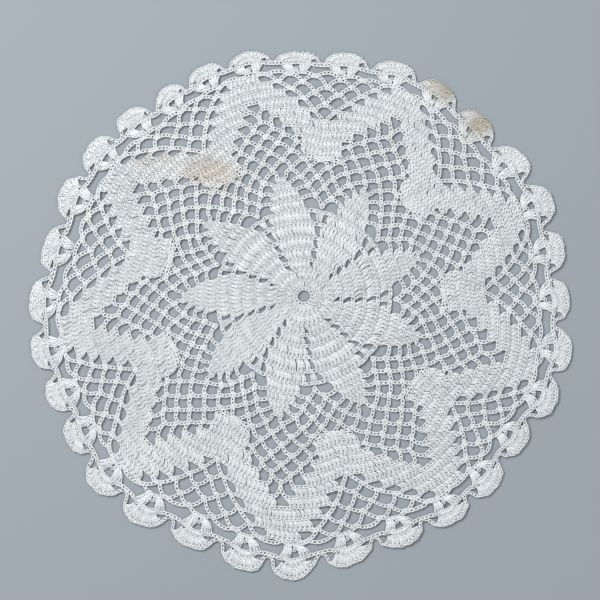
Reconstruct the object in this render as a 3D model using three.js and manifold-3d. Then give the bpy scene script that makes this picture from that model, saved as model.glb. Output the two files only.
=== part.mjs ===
// A round crocheted lace doily, lying flat. Millimetres, +Z up, bottom face on z = 0.
// Nine petals of solid stitches, a chain-loop net, nine pillars that fork into arms and
// meet in peaks, and an edging of fan shells. The origin is the middle of its outline.
import * as THREE from "three";
import { mergeVertices } from "three/addons/utils/BufferGeometryUtils.js";
import Module from "manifold-3d";

// ---------- driving sizes ----------
const REPEATS = 9;
const SHELLS = 32;
const STITCH = 2.4; // width of one solid stitch
const CORD = 1.9; // width of a chain-loop strand
const NET_THICK = 1.4; // the open net
const SOLID_THICK = 2.0; // petals, pillars, arms and shells, two threads deep
const RING_HOLE = 3.0; // radius of the hole in the middle
const DISC = 15.6; // radius of the solid middle, two rounds
const LOOP = 4; // degrees between a loop's end and its top

// The solid rows of one petal, from the middle out: stitches in the row, radius of its top.
const PETAL_ROWS = [
  { stitches: 4, top: 21.1 },
  { stitches: 6, top: 27.4 },
  { stitches: 8, top: 33.8 },
  { stitches: 10, top: 41.6 },
  { stitches: 9, top: 48.2 },
  { stitches: 7, top: 54.3 },
  { stitches: 6, top: 59.6 },
  { stitches: 4, top: 63.8 },
  { stitches: 2, top: 67.1 },
];
const FIRST_PETAL_ROUND = 3;

// Half widths of the pillar's rows and of its arms' outer edges, by round.
const OUTER_EDGE = { 14: 10.2, 15: 10.2, 16: 15.6, 17: 22.8, 18: 30, 19: 36 };
// Where the arms' inner edges stand off the pillar's axis, by round.
const INNER_EDGE = { 18: 8.4, 19: 15.6, 20: 22.8, 21: 30.3, 22: 39 };
// Degrees for each half loop of the diamond net between two pillars, by round.
const DIAMOND_STEP = { 13: 4, 14: 3.85, 15: 3.5, 16: 3.3, 17: 3.2, 18: 3.1, 19: 2.6 };

// How each ninth lies, by hand: tip, pillar and peak are turned by so many degrees,
// peakReach and rimReach stretch it outwards, and shell turns the edging.
const NINTHS = [
  { tip: -0.2, pillar: -0.3, peak: -3.9, shell: -0.4, peakReach: 0.939, rimReach: 0.94 },
  { tip: -0.6, pillar: -1.8, peak: -2.5, shell: 0.8, peakReach: 0.923, rimReach: 0.885 },
  { tip: 0.8, pillar: 0.5, peak: 0.7, shell: 2.7, peakReach: 0.919, rimReach: 0.868 },
  { tip: 2.2, pillar: 1.0, peak: 3.0, shell: -1.0, peakReach: 0.931, rimReach: 0.918 },
  { tip: 0.0, pillar: 2.4, peak: 3.5, shell: 1.5, peakReach: 0.996, rimReach: 0.964 },
  { tip: -1.3, pillar: -0.7, peak: -1.4, shell: -2.6, peakReach: 1.004, rimReach: 1.003 },
  { tip: -2.6, pillar: -2.0, peak: 0.0, shell: -1.7, peakReach: 0.992, rimReach: 0.99 },
  { tip: -1.2, pillar: -0.1, peak: 2.7, shell: 0.9, peakReach: 0.972, rimReach: 0.952 },
  { tip: 0.2, pillar: 1.2, peak: -1.7, shell: 0.2, peakReach: 0.98, rimReach: 0.96 },
];
const PETAL_AT = 20; // degrees, the first petal's axis
const PILLAR_FROM_PETAL = -16;
const PEAK_FROM_PETAL = 4;
const NINTH = 360 / REPEATS;

// ---------- from the even pattern to the way it lies ----------
const degrees = (arc, radius) => THREE.MathUtils.radToDeg(arc / radius);

// Straight lines between the points [x, y] of a short list.
function along(x, points) {
  if (x <= points[0][0]) return points[0][1];
  for (let i = 1; i < points.length; i++) {
    const [x0, y0] = points[i - 1];
    const [x1, y1] = points[i];
    if (x <= x1) return y0 + ((y1 - y0) * (x - x0)) / (x1 - x0);
  }
  return points.at(-1)[1];
}

// A column of NINTHS, eased from one ninth to the next, where the first lies at firstAt.
function around(column, angle, firstAt) {
  const u = THREE.MathUtils.euclideanModulo((angle - firstAt) / NINTH, REPEATS);
  const i = Math.floor(u);
  const ease = THREE.MathUtils.smoothstep(u - i, 0, 1);
  const from = NINTHS[i % REPEATS][column];
  return from + (NINTHS[(i + 1) % REPEATS][column] - from) * ease;
}

const TIP_RADIUS = 65.5;
const PILLAR_RADIUS = 83;
const PEAK_RADIUS = 130;
const PEAK_TOP = 137;
const RIM = 157;
// Solid stitches lean as they are worked, so the pattern turns a little with its radius.
const LEAN = [[0, -6.5], [15.5, -5], [TIP_RADIUS, 0], [77.6, -1.9], [PEAK_RADIUS, 0.7], [RIM, 1.8]];
const STRETCH_FROM = 72;

function turn(angle, radius) {
  const tip = along(radius, [[TIP_RADIUS, 1], [PILLAR_RADIUS, 0]]);
  const peak = along(radius, [[PILLAR_RADIUS, 0], [PEAK_RADIUS, 1]]);
  const ninth =
    tip * around("tip", angle, PETAL_AT) +
    (1 - tip - peak) * around("pillar", angle, PETAL_AT + PILLAR_FROM_PETAL) +
    peak * around("peak", angle, PETAL_AT + PEAK_FROM_PETAL);
  return along(radius, LEAN) + ninth;
}

function stretch(angle, radius) {
  const peak = around("peakReach", angle, PETAL_AT + PEAK_FROM_PETAL);
  const rim = around("rimReach", angle, PETAL_AT);
  return along(radius, [[STRETCH_FROM, 1], [PEAK_TOP, peak], [RIM, rim]]);
}

// A point of the even pattern, degrees and millimetres, as it lies.
function place([angle, radius]) {
  const a = THREE.MathUtils.degToRad(angle + turn(angle, radius));
  const r = radius * stretch(angle, radius);
  return new THREE.Vector2(r * Math.cos(a), r * Math.sin(a));
}

// ---------- the rounds ----------
// Loop ends of the plain net rise evenly, round by round.
const netRadius = (round) => 50.5 + 5.32 * (round - 8);

// The top of a solid row or net round near a pillar, at so far off the pillar's axis:
// lowest on the axis, then rising to each side and levelling out.
const rowTop = (round, off) =>
  83.4 + 5.88 * (round - 14) + 7.2 * (1 - Math.exp(-Math.abs(off) / 25));

// The last net round, which the shells are worked into.
const FOOT_LOW = 134.5;
const FOOT_RISE = 4;
function footRadius(angle) {
  const fromPillar = angle - PETAL_AT - PILLAR_FROM_PETAL;
  return FOOT_LOW + (FOOT_RISE / 2) * (1 - Math.cos(THREE.MathUtils.degToRad(fromPillar * REPEATS)));
}

// Petal corner in degrees off the petal's axis, for a round.
function petalHalf(round) {
  const row = PETAL_ROWS[round - FIRST_PETAL_ROUND];
  return degrees((row.stitches * STITCH) / 2, row.top);
}

// The three nets' crossings. h counts half loops from the net's own axis, so the loop
// (round, h) hangs between (round, h - 1) and (round, h + 1), under (round + 1, h).
function betweenPetals(axis, round, h) {
  const corner = round - 6;
  if (round <= 11) {
    const row = PETAL_ROWS[round - FIRST_PETAL_ROUND];
    const half = NINTH / 2 - petalHalf(round);
    const radius = Math.abs(h) === corner ? row.top : netRadius(round);
    return [axis + (half * h) / corner, radius];
  }
  const underPillar = round === 14 && (h === 0 || h === 2);
  return [axis + LOOP * h, underPillar ? rowTop(13, STITCH) : netRadius(round)];
}

function betweenPillars(axis, round, h) {
  if (round === 20) return [axis, rowTop(19, OUTER_EDGE[19])];
  const edge = { 14: 4, 15: 5, 16: 4, 17: 3, 18: 2, 19: 1 }[round];
  if (Math.abs(h) !== edge) return [axis + h * DIAMOND_STEP[round], netRadius(round)];
  const off = OUTER_EDGE[round];
  const radius = rowTop(round - 0.5, off);
  return [axis + Math.sign(h) * (NINTH / 2 - degrees(off, radius)), radius];
}

function betweenArms(axis, round, h) {
  if (round === 24) return [axis + degrees(6.6 * h, FOOT_LOW), footRadius(axis + degrees(6.6 * h, FOOT_LOW))];
  const edge = round - 16;
  if (round < 23 && Math.abs(h) === edge) {
    const off = INNER_EDGE[Math.max(round, 18)];
    const radius = rowTop(Math.max(round - 0.5, 17), off);
    return [axis + Math.sign(h) * degrees(off, radius), radius];
  }
  const step = round === 23 ? 6.6 : INNER_EDGE[round] / edge;
  const radius = rowTop(round - 1, step * h);
  return [axis + degrees(step * h, radius), radius];
}

// ---------- the gaps of the nets ----------
// A gap is one loop's opening, or that of a few neighbours where the cords between them
// are left out: with the loop up and left, up and right, or the four of a diamond.
// Each corner is so many rounds up and half loops over from the lowest loop.
const GAP_CORNERS = {
  one: [[-1, 0], [0, 1], [1, 0], [0, -1]],
  left: [[-1, 0], [0, 1], [1, 0], [2, -1], [1, -2], [0, -1]],
  right: [[-1, 0], [0, 1], [1, 2], [2, 1], [1, 0], [0, -1]],
  four: [[-1, 0], [0, 1], [1, 2], [2, 1], [3, 0], [2, -1], [1, -2], [0, -1]],
};

const NETS = [
  {
    crossing: betweenPetals,
    axis: -NINTH / 2,
    gaps: [
      { round: 8, h: -1, kind: "left" },
      { round: 8, h: 1, kind: "right" },
      { round: 9, h: 0, kind: "four" },
      { round: 10, h: -3, kind: "right" },
      { round: 10, h: 3, kind: "left" },
      { round: 12, h: -3, kind: "right" },
      { round: 12, h: -1, kind: "right" },
      { round: 12, h: 1, kind: "right" },
      { round: 12, h: 3, kind: "right" },
      { round: 12, h: 5, kind: "right" },
    ],
  },
  {
    crossing: betweenPillars,
    axis: PEAK_FROM_PETAL,
    gaps: [
      { round: 14, h: -3, kind: "left" },
      { round: 14, h: -1, kind: "left" },
      { round: 14, h: 1, kind: "right" },
      { round: 14, h: 3, kind: "right" },
      { round: 15, h: 0, kind: "four" },
      { round: 16, h: -3, kind: "right" },
      { round: 16, h: 3, kind: "left" },
      { round: 18, h: -1, kind: "one" },
      { round: 18, h: 1, kind: "one" },
      { round: 19, h: 0, kind: "one" },
    ],
  },
  {
    crossing: betweenArms,
    axis: PILLAR_FROM_PETAL,
    gaps: [
      { round: 18, h: -1, kind: "left" },
      { round: 18, h: 1, kind: "right" },
      { round: 19, h: 0, kind: "four" },
      { round: 20, h: -3, kind: "four" },
      { round: 20, h: 3, kind: "four" },
      { round: 22, h: -5, kind: "right" },
      { round: 22, h: -1, kind: "left" },
      { round: 22, h: 1, kind: "right" },
      { round: 22, h: 5, kind: "left" },
    ],
  },
];

const signedArea = (points) => THREE.ShapeUtils.area(points);

// The polygon with every side moved inwards by so much.
function inset(points, by) {
  const ring = signedArea(points) > 0 ? points : [...points].reverse();
  const inward = ring.map((p, i) => {
    const side = ring[(i + 1) % ring.length].clone().sub(p).normalize();
    return new THREE.Vector2(-side.y, side.x);
  });
  return ring.map((p, i) => {
    const before = inward[(i + ring.length - 1) % ring.length];
    const both = before.clone().add(inward[i]);
    return p.clone().addScaledVector(both, by / (1 + before.dot(inward[i])));
  });
}

// Without the corners that stand less than so much off the line past them.
function straightened(points, least) {
  return points.filter((p, i) => {
    const before = points[(i + points.length - 1) % points.length];
    const side = points[(i + 1) % points.length].clone().sub(before);
    return Math.abs(side.cross(p.clone().sub(before))) / side.length() > least;
  });
}

const gapOf = (corners) => inset(straightened(corners.map(place), CORD / 3), CORD / 2);

const netGaps = (petalAngle) =>
  NETS.flatMap(({ crossing, axis, gaps }) =>
    gaps.map(({ round, h, kind }) =>
      gapOf(GAP_CORNERS[kind].map(([up, over]) => crossing(petalAngle + axis, round + up, h + over))),
    ),
  );

// ---------- the shell edging ----------
const SHELL_STEP = 360 / SHELLS;
const FIRST_SHELL = -0.6;
const SHELL = {
  footHalf: 3.6, // the stem is a V of solid stitches
  stemTop: 7,
  stemHalf: 6.2,
  valley: 11.3, // where two fans meet, beyond the foot
  top: 19.2,
  arcSteps: 6,
};
const WINDOW = { low: 1.2, high: 6.8, stem: 1.0 };

const shellAngle = (i) => FIRST_SHELL + SHELL_STEP * i + around("shell", SHELL_STEP * i, PETAL_AT + PEAK_FROM_PETAL);
const footAt = (angle) => footRadius(angle - turn(angle, FOOT_LOW));

// A point of the edging: degrees as it lies, millimetres beyond the foot.
function edgePoint(angle, beyond) {
  const a = THREE.MathUtils.degToRad(angle);
  const r = (footAt(angle) + beyond) * stretch(angle, FOOT_LOW + beyond);
  return new THREE.Vector2(r * Math.cos(a), r * Math.sin(a));
}

// A fan's rim from valley to valley, drawn in from the outline by so much.
function fanRim(i, drawnIn) {
  const middle = shellAngle(i);
  const sides = [(shellAngle(i - 1) + middle) / 2, (middle + shellAngle(i + 1)) / 2];
  const foot = footAt(middle);
  const rim = [];
  for (let step = 0; step <= SHELL.arcSteps; step++) {
    const turned = (Math.PI * step) / SHELL.arcSteps;
    const across = -Math.cos(turned);
    const half = across < 0 ? middle - sides[0] : sides[1] - middle;
    const kept = half - degrees(drawnIn, foot);
    const beyond = SHELL.valley + (SHELL.top - SHELL.valley - drawnIn) * Math.sin(turned);
    rim.push(edgePoint(middle + across * kept, beyond));
  }
  return rim;
}

const outline = () =>
  Array.from({ length: SHELLS }, (_, i) => fanRim(i, 0).slice(0, -1)).flat();

// The window between shell i and the next, wider at the foot than under the chain.
function windowGap(i) {
  const from = shellAngle(i);
  const to = shellAngle(i + 1);
  const low = degrees(SHELL.footHalf + WINDOW.stem, FOOT_LOW);
  const high = degrees(SHELL.stemHalf + WINDOW.stem, FOOT_LOW);
  return [
    edgePoint(from + low, WINDOW.low),
    edgePoint(to - low, WINDOW.low),
    edgePoint(to - high, WINDOW.high),
    edgePoint(from + high, WINDOW.high),
  ];
}

function shellRelief(i) {
  const middle = shellAngle(i);
  const foot = degrees(SHELL.footHalf, FOOT_LOW);
  const stem = degrees(SHELL.stemHalf, FOOT_LOW);
  return [
    edgePoint(middle + stem, SHELL.stemTop),
    edgePoint(middle + foot, 0),
    edgePoint(middle - foot, 0),
    edgePoint(middle - stem, SHELL.stemTop),
    ...fanRim(i, CORD / 3),
  ];
}

// ---------- the solid stitches, standing above the net ----------
function petalRelief(petalAngle) {
  const rows = [{ stitches: PETAL_ROWS[0].stitches, top: DISC - 1 }, ...PETAL_ROWS];
  const side = (sign) =>
    rows.map(({ stitches, top }) => place([petalAngle + (sign * degrees(stitches * STITCH, top)) / 2, top]));
  return [...side(1), ...side(-1).reverse()];
}

// One pillar with its two arms, out to the middle of the peaks on both sides.
function starRelief(petalAngle) {
  const axis = petalAngle + PILLAR_FROM_PETAL;
  const peak = THREE.MathUtils.degToRad(NINTH / 2 + 0.1);
  const at = (off, round) => [off / rowTop(round, off), rowTop(round, off)];
  const atPeak = (round) => [peak, rowTop(round, peak * PEAK_RADIUS)];
  // The rows step outwards one by one, and each has its corner at half its height.
  const side = [
    at(OUTER_EDGE[14], 13),
    ...[15, 16, 17, 18, 19].map((round) => at(OUTER_EDGE[round], round - 0.5)),
    atPeak(19),
    atPeak(22),
    at(INNER_EDGE[22], 22),
    ...[21, 20, 19, 18].map((round) => at(INNER_EDGE[round], round - 0.5)),
    at(INNER_EDGE[18], 17),
  ];
  const lie = (sign) => ([a, r]) => place([axis + sign * THREE.MathUtils.radToDeg(a), r]);
  return [
    place([axis, rowTop(13, 0)]),
    ...side.map(lie(1)),
    place([axis, rowTop(17, 0)]),
    ...side.map(lie(-1)).reverse(),
  ];
}

function discRelief() {
  const steps = 24;
  return Array.from({ length: steps }, (_, i) => place([(360 / steps) * i, DISC + 0.5]));
}

function ringHole() {
  const steps = 12;
  return Array.from({ length: steps }, (_, i) => place([(360 / steps) * i, RING_HOLE]));
}

// ---------- from outlines to one solid ----------
const wasm = await Module();
wasm.setup();

function solidOf(geometry) {
  geometry.deleteAttribute("normal");
  geometry.deleteAttribute("uv");
  const merged = mergeVertices(geometry, 1e-4);
  return new wasm.Manifold(
    new wasm.Mesh({
      numProp: 3,
      vertProperties: merged.attributes.position.array,
      triVerts: new Uint32Array(merged.index.array),
    }),
  );
}

function slab(points, thick, holes = []) {
  const shape = new THREE.Shape(signedArea(points) > 0 ? points : [...points].reverse());
  shape.holes = holes.map((hole) => new THREE.Path(hole));
  return solidOf(new THREE.ExtrudeGeometry(shape, { depth: thick, bevelEnabled: false, steps: 1 }));
}

function doilyGeometry() {
  const petals = Array.from({ length: REPEATS }, (_, i) => PETAL_AT + NINTH * i);
  const rim = outline();
  const shells = Array.from({ length: SHELLS }, (_, i) => i);
  const gaps = [...petals.flatMap(netGaps), ...shells.map(windowGap)];
  const raised = [discRelief(), ...petals.map(petalRelief), ...petals.map(starRelief), ...shells.map(shellRelief)];
  let doily = slab(rim, NET_THICK, gaps);
  for (const points of raised) doily = doily.add(slab(points, SOLID_THICK));
  doily = doily.subtract(slab(ringHole(), SOLID_THICK + 1).translate([0, 0, -0.5]));
  const mesh = doily.getMesh();
  const geometry = new THREE.BufferGeometry();
  geometry.setAttribute("position", new THREE.BufferAttribute(mesh.vertProperties, 3));
  geometry.setIndex(new THREE.BufferAttribute(mesh.triVerts, 1));
  geometry.computeVertexNormals();
  // The ring hole is where the work began, and the origin is the middle of the outline.
  const middle = new THREE.Box2().setFromPoints(rim).getCenter(new THREE.Vector2());
  return geometry.translate(-middle.x, -middle.y, 0);
}

const doily = new THREE.Mesh(
  doilyGeometry(),
  new THREE.MeshStandardMaterial({ color: "#dfe1e0", roughness: 0.9, metalness: 0 }),
);
doily.name = "doily";

const part = new THREE.Group();
part.add(doily);

export default part;
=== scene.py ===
# %% [markdown]
# # A crocheted lace doily, worked stitch by stitch
#
# The real doily is one cotton thread, looped round and round with a hook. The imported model
# gives its outline and gaps. A flat sheet with a bump would do from far away, but lace is all
# thread, and thread has depth. So every stitch is made as yarn: solid posts for the petals,
# the star and the shells, and chains of small loops for the net.
#
# A doily has thousands of stitches but only two kinds. So each kind is modelled once, and
# numpy places all the copies in one step. All lengths are in millimetres until a mesh is made.

import bpy
import numpy as np
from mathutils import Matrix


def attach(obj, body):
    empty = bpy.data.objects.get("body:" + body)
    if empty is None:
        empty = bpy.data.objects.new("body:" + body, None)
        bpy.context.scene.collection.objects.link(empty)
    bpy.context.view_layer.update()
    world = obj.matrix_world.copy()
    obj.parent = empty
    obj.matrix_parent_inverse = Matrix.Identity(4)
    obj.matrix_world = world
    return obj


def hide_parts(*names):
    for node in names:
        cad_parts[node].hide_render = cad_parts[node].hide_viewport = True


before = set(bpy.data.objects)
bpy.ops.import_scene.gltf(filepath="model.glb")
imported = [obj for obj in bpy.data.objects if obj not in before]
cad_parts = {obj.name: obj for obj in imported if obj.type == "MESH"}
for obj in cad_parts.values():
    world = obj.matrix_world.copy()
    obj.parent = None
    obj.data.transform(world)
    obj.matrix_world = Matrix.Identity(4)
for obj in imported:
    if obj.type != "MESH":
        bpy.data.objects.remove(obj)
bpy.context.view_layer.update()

SEED = 25  # another number gives another doily by the same hands

random = np.random.default_rng(SEED)

# %% [markdown]
# ## How the doily lies
#
# The pattern repeats nine times, but cloth never lies evenly. So the even pattern, in
# degrees and millimetres from the middle, goes through a smooth warp that turns and
# stretches each ninth. A lattice on the finished mesh would squash the stitches too, but a
# warp of their places leaves each one whole. Points in the plane are complex numbers: to
# turn and scale them is one multiplication for a whole array.

# %% The warp
REPEATS = 9
NINTH = 360 / REPEATS
PETAL_AT = 20  # degrees, the first petal's axis
PILLAR_FROM_PETAL = -16
PEAK_FROM_PETAL = 4
PETALS = PETAL_AT + NINTH * np.arange(REPEATS)
TIP_RADIUS, PILLAR_RADIUS, PEAK_RADIUS = 65.5, 83, 130
PEAK_TOP, RIM, STRETCH_FROM = 137, 157, 72
SWIRL_AT = [0, 15.5, TIP_RADIUS, 77.6, PEAK_RADIUS, RIM]  # millimetres from the middle
SWIRL = [-6.5, -5, 0, -1.9, 0.7, 1.8]  # degrees that the whole round is turned there

# How each ninth lies: tip, pillar, peak and shell are turned by so many degrees, and
# peak reach and rim reach stretch it outwards.
TIP, PILLAR, PEAK, SHELL, PEAK_REACH, RIM_REACH = range(6)
NINTHS = np.array([
    [-0.2, -0.3, -3.9, -0.4, 0.939, 0.940],
    [-0.6, -1.8, -2.5, 0.8, 0.923, 0.885],
    [0.8, 0.5, 0.7, 2.7, 0.919, 0.868],
    [2.2, 1.0, 3.0, -1.0, 0.931, 0.918],
    [0.0, 2.4, 3.5, 1.5, 0.996, 0.964],
    [-1.3, -0.7, -1.4, -2.6, 1.004, 1.003],
    [-2.6, -2.0, 0.0, -1.7, 0.992, 0.990],
    [-1.2, -0.1, 2.7, 0.9, 0.972, 0.952],
    [0.2, 1.2, -1.7, 0.2, 0.980, 0.960],
])


def degrees(arc, radius):
    """Angle in degrees of an arc of so many millimetres at a radius."""
    return np.degrees(arc / radius)


def around(column, angle, first_at):
    """A column of the table, eased from one ninth to the next by 3t^2 - 2t^3."""
    u = ((angle - first_at) / NINTH) % REPEATS
    i = np.floor(u).astype(int)
    t = u - i
    ease = t * t * (3 - 2 * t)
    return NINTHS[i % REPEATS, column] * (1 - ease) + NINTHS[(i + 1) % REPEATS, column] * ease


def turn(angle, radius):
    """Degrees that a point is turned: the swirl at its radius, and its ninth's own turn,
    which is the tip's inside, the pillar's in between and the peak's outside."""
    swirl = np.interp(radius, SWIRL_AT, SWIRL)
    tip = np.interp(radius, [TIP_RADIUS, PILLAR_RADIUS], [1, 0])
    peak = np.interp(radius, [PILLAR_RADIUS, PEAK_RADIUS], [0, 1])
    return (
        swirl
        + tip * around(TIP, angle, PETAL_AT)
        + (1 - tip - peak) * around(PILLAR, angle, PETAL_AT + PILLAR_FROM_PETAL)
        + peak * around(PEAK, angle, PETAL_AT + PEAK_FROM_PETAL)
    )


def stretch(angle, radius):
    """How far out a point lies, as a share of its even radius: straight lines in radius
    from 1 to the peak's reach, and from there to the rim's reach."""
    peak = around(PEAK_REACH, angle, PETAL_AT + PEAK_FROM_PETAL)
    rim = around(RIM_REACH, angle, PETAL_AT)
    inner = np.clip((radius - STRETCH_FROM) / (PEAK_TOP - STRETCH_FROM), 0, 1)
    outer = np.clip((radius - PEAK_TOP) / (RIM - PEAK_TOP), 0, 1)
    return 1 + (peak - 1) * inner + (rim - peak) * outer


def place(angle, radius):
    """Even pattern to the plane: radius times stretch, at angle plus turn."""
    return radius * stretch(angle, radius) * np.exp(1j * np.radians(angle + turn(angle, radius)))


print("mm to the rim, at each quarter:", np.abs(place(np.arange(0, 360, 90), RIM)).round())

# %% [markdown]
# ## Yarn
#
# Crochet cotton is about half a millimetre thick, and swells to about 0.8 mm where a loop
# is slack. A chain stitch is a teardrop of yarn whose narrow end comes up through the wide
# head of the stitch before it, so a chain shows a row of small eyes. A tall stitch is a post
# of strands with one wrap lying across it.
#
# Bevelled curves could draw the strands, but thousands of them are slow. So each strand is a
# closed tube along a centreline, worked out as arrays, with few faces.

# %% A tube of yarn along a line
YARN = 0.82
YARN_SIDES = 4


def tube(line, thick, closed):
    """A ring of corners round each point of the line: centre + r (cos u across + sin u up).
    Returns points, quads and, for each quad corner, (turns round, millimetres along)."""
    line = np.asarray(line, float)
    ahead = np.roll(line, -1, 0) - np.roll(line, 1, 0)
    if not closed:
        ahead[0], ahead[-1] = line[1] - line[0], line[-1] - line[-2]
    ahead /= np.linalg.norm(ahead, axis=1)[:, None]
    across = np.cross(ahead, [0, 0, 1])
    across /= np.linalg.norm(across, axis=1)[:, None]
    up = np.cross(across, ahead)
    u = 2 * np.pi * (np.arange(YARN_SIDES) + 0.5) / YARN_SIDES
    ring = np.cos(u)[:, None] * across[:, None] + np.sin(u)[:, None] * up[:, None]
    radius = np.broadcast_to(np.asarray(thick, float) / 2, len(line))
    points = (line[:, None] + radius[:, None, None] * ring).reshape(-1, 3)
    rings = len(line)
    spans = np.arange(rings if closed else rings - 1)
    i, j = (grid.ravel() for grid in np.meshgrid(spans, np.arange(YARN_SIDES), indexing="ij"))
    here, following = i * YARN_SIDES, (i + 1) % rings * YARN_SIDES
    side = (j + 1) % YARN_SIDES
    quads = np.stack([here + j, following + j, following + side, here + side], 1)
    steps = np.linalg.norm(np.diff(line, axis=0, append=line[:1]), axis=1)
    run = np.concatenate([[0], np.cumsum(steps)])
    turns_round = np.stack([j, j, j + 1, j + 1], 1) / YARN_SIDES
    along = np.stack([run[i], run[i + 1], run[i + 1], run[i]], 1)
    return points, quads, np.stack([turns_round, along], 2)


def capped(line, thick):
    """A tube whose two ends are closed, each by one face."""
    points, quads, uv = tube(line, thick, closed=False)
    first = np.arange(YARN_SIDES)
    last = len(points) - YARN_SIDES + first
    ends = np.stack([first, last[::-1]])
    end_uv = np.stack([uv[0], uv[-1]])
    return points, np.concatenate([quads, ends]), np.concatenate([uv, end_uv])


def joined(parts):
    """Several meshes as one: points stacked, and face numbers moved up past the last ones."""
    points, quads, uvs = zip(*parts)
    bases = np.cumsum([0] + [len(p) for p in points])
    quads = [q + base for q, base in zip(quads, bases)]
    return tuple(np.concatenate(lists) for lists in (points, quads, uvs))


# %% One chain stitch
CHAIN_PITCH = 2.05
CHAIN_WIDTH = 2.6
CHAIN_POINTS = 8
CHAIN_FROM, CHAIN_REACH = -0.32, 1.46  # where a stitch starts and how long it is, in pitches
CHAIN_NARROW = 0.62  # the narrow end as a share of the width; the head is twice that


def teardrop():
    """A closed loop, with s = (1 - cos t) / 2: x goes out and back as s, y swings as sin t
    and widens with s, and z = -0.26 + 2.1 s - 1.95 s^2 dips at both ends and rises between,
    over the head of the stitch before."""
    t = 2 * np.pi * (np.arange(CHAIN_POINTS) + 0.5) / CHAIN_POINTS
    s = (1 - np.cos(t)) / 2
    x = CHAIN_PITCH * (CHAIN_FROM + CHAIN_REACH * s)
    y = (CHAIN_WIDTH - YARN) / 2 * np.sin(t) * (CHAIN_NARROW + CHAIN_NARROW * s)
    z = -0.26 + 2.1 * s - 1.95 * s**2
    return tube(np.stack([x, y, z], 1), YARN, closed=True)


CHAIN = teardrop()
print("triangles in a chain stitch:", 2 * len(CHAIN[1]))

# %% One post
POST_TALL = 6.0
POST_YARN = 0.74
LEAN = 1.6  # millimetres that a head stands past its foot
POST_POINTS = np.array([0.02, 0.2, 0.4, 0.6, 0.82, 1.06])  # shares of the post's height
POST_SWELL = np.array([0.8, 0.95, 1.05, 1.1, 1.1, 1.0])  # yarn is pinched at both ends
POST_LIFT = np.array([-0.2, 0.08, 0.16, 0.16, 0.1, -0.3])
CORE_POINTS, CORE_LIFT, CORE_SWELL = [0, 2, 5], [-0.25, 0.2, -0.25], 1.2
WRAP_FROM, WRAP_RISE, WRAP_HALF = 0.3, 0.42, 0.9  # shares of the height, and millimetres
WRAP_POINTS, WRAP_SWELL = 6, 0.9


def strand(x, y, z, swell):
    """One strand of a post, through points whose y is a share of the post's height."""
    return capped(np.stack([x, y * POST_TALL, z], 1), POST_YARN * swell)


def post():
    """Two side strands, a core that fills the middle and a wrap that crosses over. y runs
    from 0 at the foot to 1 at the head, and is stretched to the stitch's height when it is
    placed; x and z are millimetres. The strands lean by an S, 3y^2 - 2y^3 of the lower part,
    and part from 0.62 mm off the middle at the foot to 0.8 mm where they are full. The foot
    dives under the row before, and the head under the braid that ties it off."""
    y = POST_POINTS
    rise = np.clip((y - 0.05) / 0.5, 0, 1)
    lean = LEAN * (rise**2 * (3 - 2 * rise) - 0.5)
    apart = 0.62 + 0.18 * np.clip(y / 0.6, 0, 1) ** 1.5
    w = np.linspace(0, 1, WRAP_POINTS)
    wrap_y = WRAP_FROM + WRAP_RISE * w
    wrap_x = np.interp(wrap_y, y, lean) + WRAP_HALF * (2 * w - 1)
    made = joined([
        strand(lean - apart, y, POST_LIFT, POST_SWELL),
        strand(lean + apart, y, POST_LIFT, POST_SWELL),
        strand(lean[CORE_POINTS], y[CORE_POINTS], CORE_LIFT, CORE_SWELL),
        strand(wrap_x, wrap_y, 0.15 + 0.5 * np.sin(np.pi * w) ** 0.6, WRAP_SWELL),
    ])
    made[0][:, 1] /= POST_TALL
    return made


POST = post()
print("triangles in a post:", 2 * len(POST[1]))

# %% [markdown]
# ## The work basket
#
# A crocheter works stitch after stitch, but Blender is quickest when it gets everything at
# once. So rows and loops only note where each stitch goes, as arrays, and the yarn is laid at
# the very end. A post can widen from foot to head, as in a fan, so its note holds the step to
# the next post at both.

# %% Noting stitches
CENTRE, NET, BORDER = "petals", "inner_net", "border"
basket = {part: {"chains": [], "posts": []} for part in (CENTRE, NET, BORDER)}
CHAIN_LIES = 0.95  # millimetres up that a chain lies
POST_LIES = 0.85
TOP_LIES = 0.95  # and the braid along a row's top
ROPE_LOOSE = 0.06  # how much the stitches of a rope are jittered


def jitter(shape, much):
    """Random shifts in the plane, so that no stitch is just like the next."""
    return much * (random.normal(size=shape) + 1j * random.normal(size=shape))


def note_chains(part, start, end, width=1.0, lies=CHAIN_LIES):
    """Chain stitches from start to end; width is a share of the usual one."""
    start, end = np.ravel(start), np.ravel(end)
    ones = np.ones(len(start))
    basket[part]["chains"].append(np.stack([start, end, width * ones, lies * ones], 1))


def note_posts(part, foot, head, foot_step, head_step, lies=POST_LIES):
    """Posts from foot to head; the steps are the ways to the next stitch at each end."""
    foot, head, foot_step, head_step = (np.ravel(a) for a in (foot, head, foot_step, head_step))
    lies = np.ravel(lies) * np.ones(len(foot))
    basket[part]["posts"].append(np.stack([foot, head, foot_step, head_step, lies], 1))


def note_rope(part, path, lies=CHAIN_LIES, width=1.0):
    """Chain stitches along paths of shape (paths, points), as many as their mean length
    takes, at equal steps of length."""
    steps = np.abs(np.diff(path, axis=1))
    length = np.concatenate([np.zeros((len(path), 1)), np.cumsum(steps, axis=1)], axis=1)
    count = max(1, int(round(float(length[:, -1].mean()) / CHAIN_PITCH)))
    share = np.linspace(0, 1, count + 1)
    knots = np.stack([
        np.interp(share * run[-1], run, line.real)
        + 1j * np.interp(share * run[-1], run, line.imag)
        for run, line in zip(length, path)
    ])
    knots[:, 1:-1] += jitter(knots[:, 1:-1].shape, ROPE_LOOSE)
    note_chains(part, knots[:, :-1], knots[:, 1:], width, lies)


print("parts:", *basket)

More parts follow.
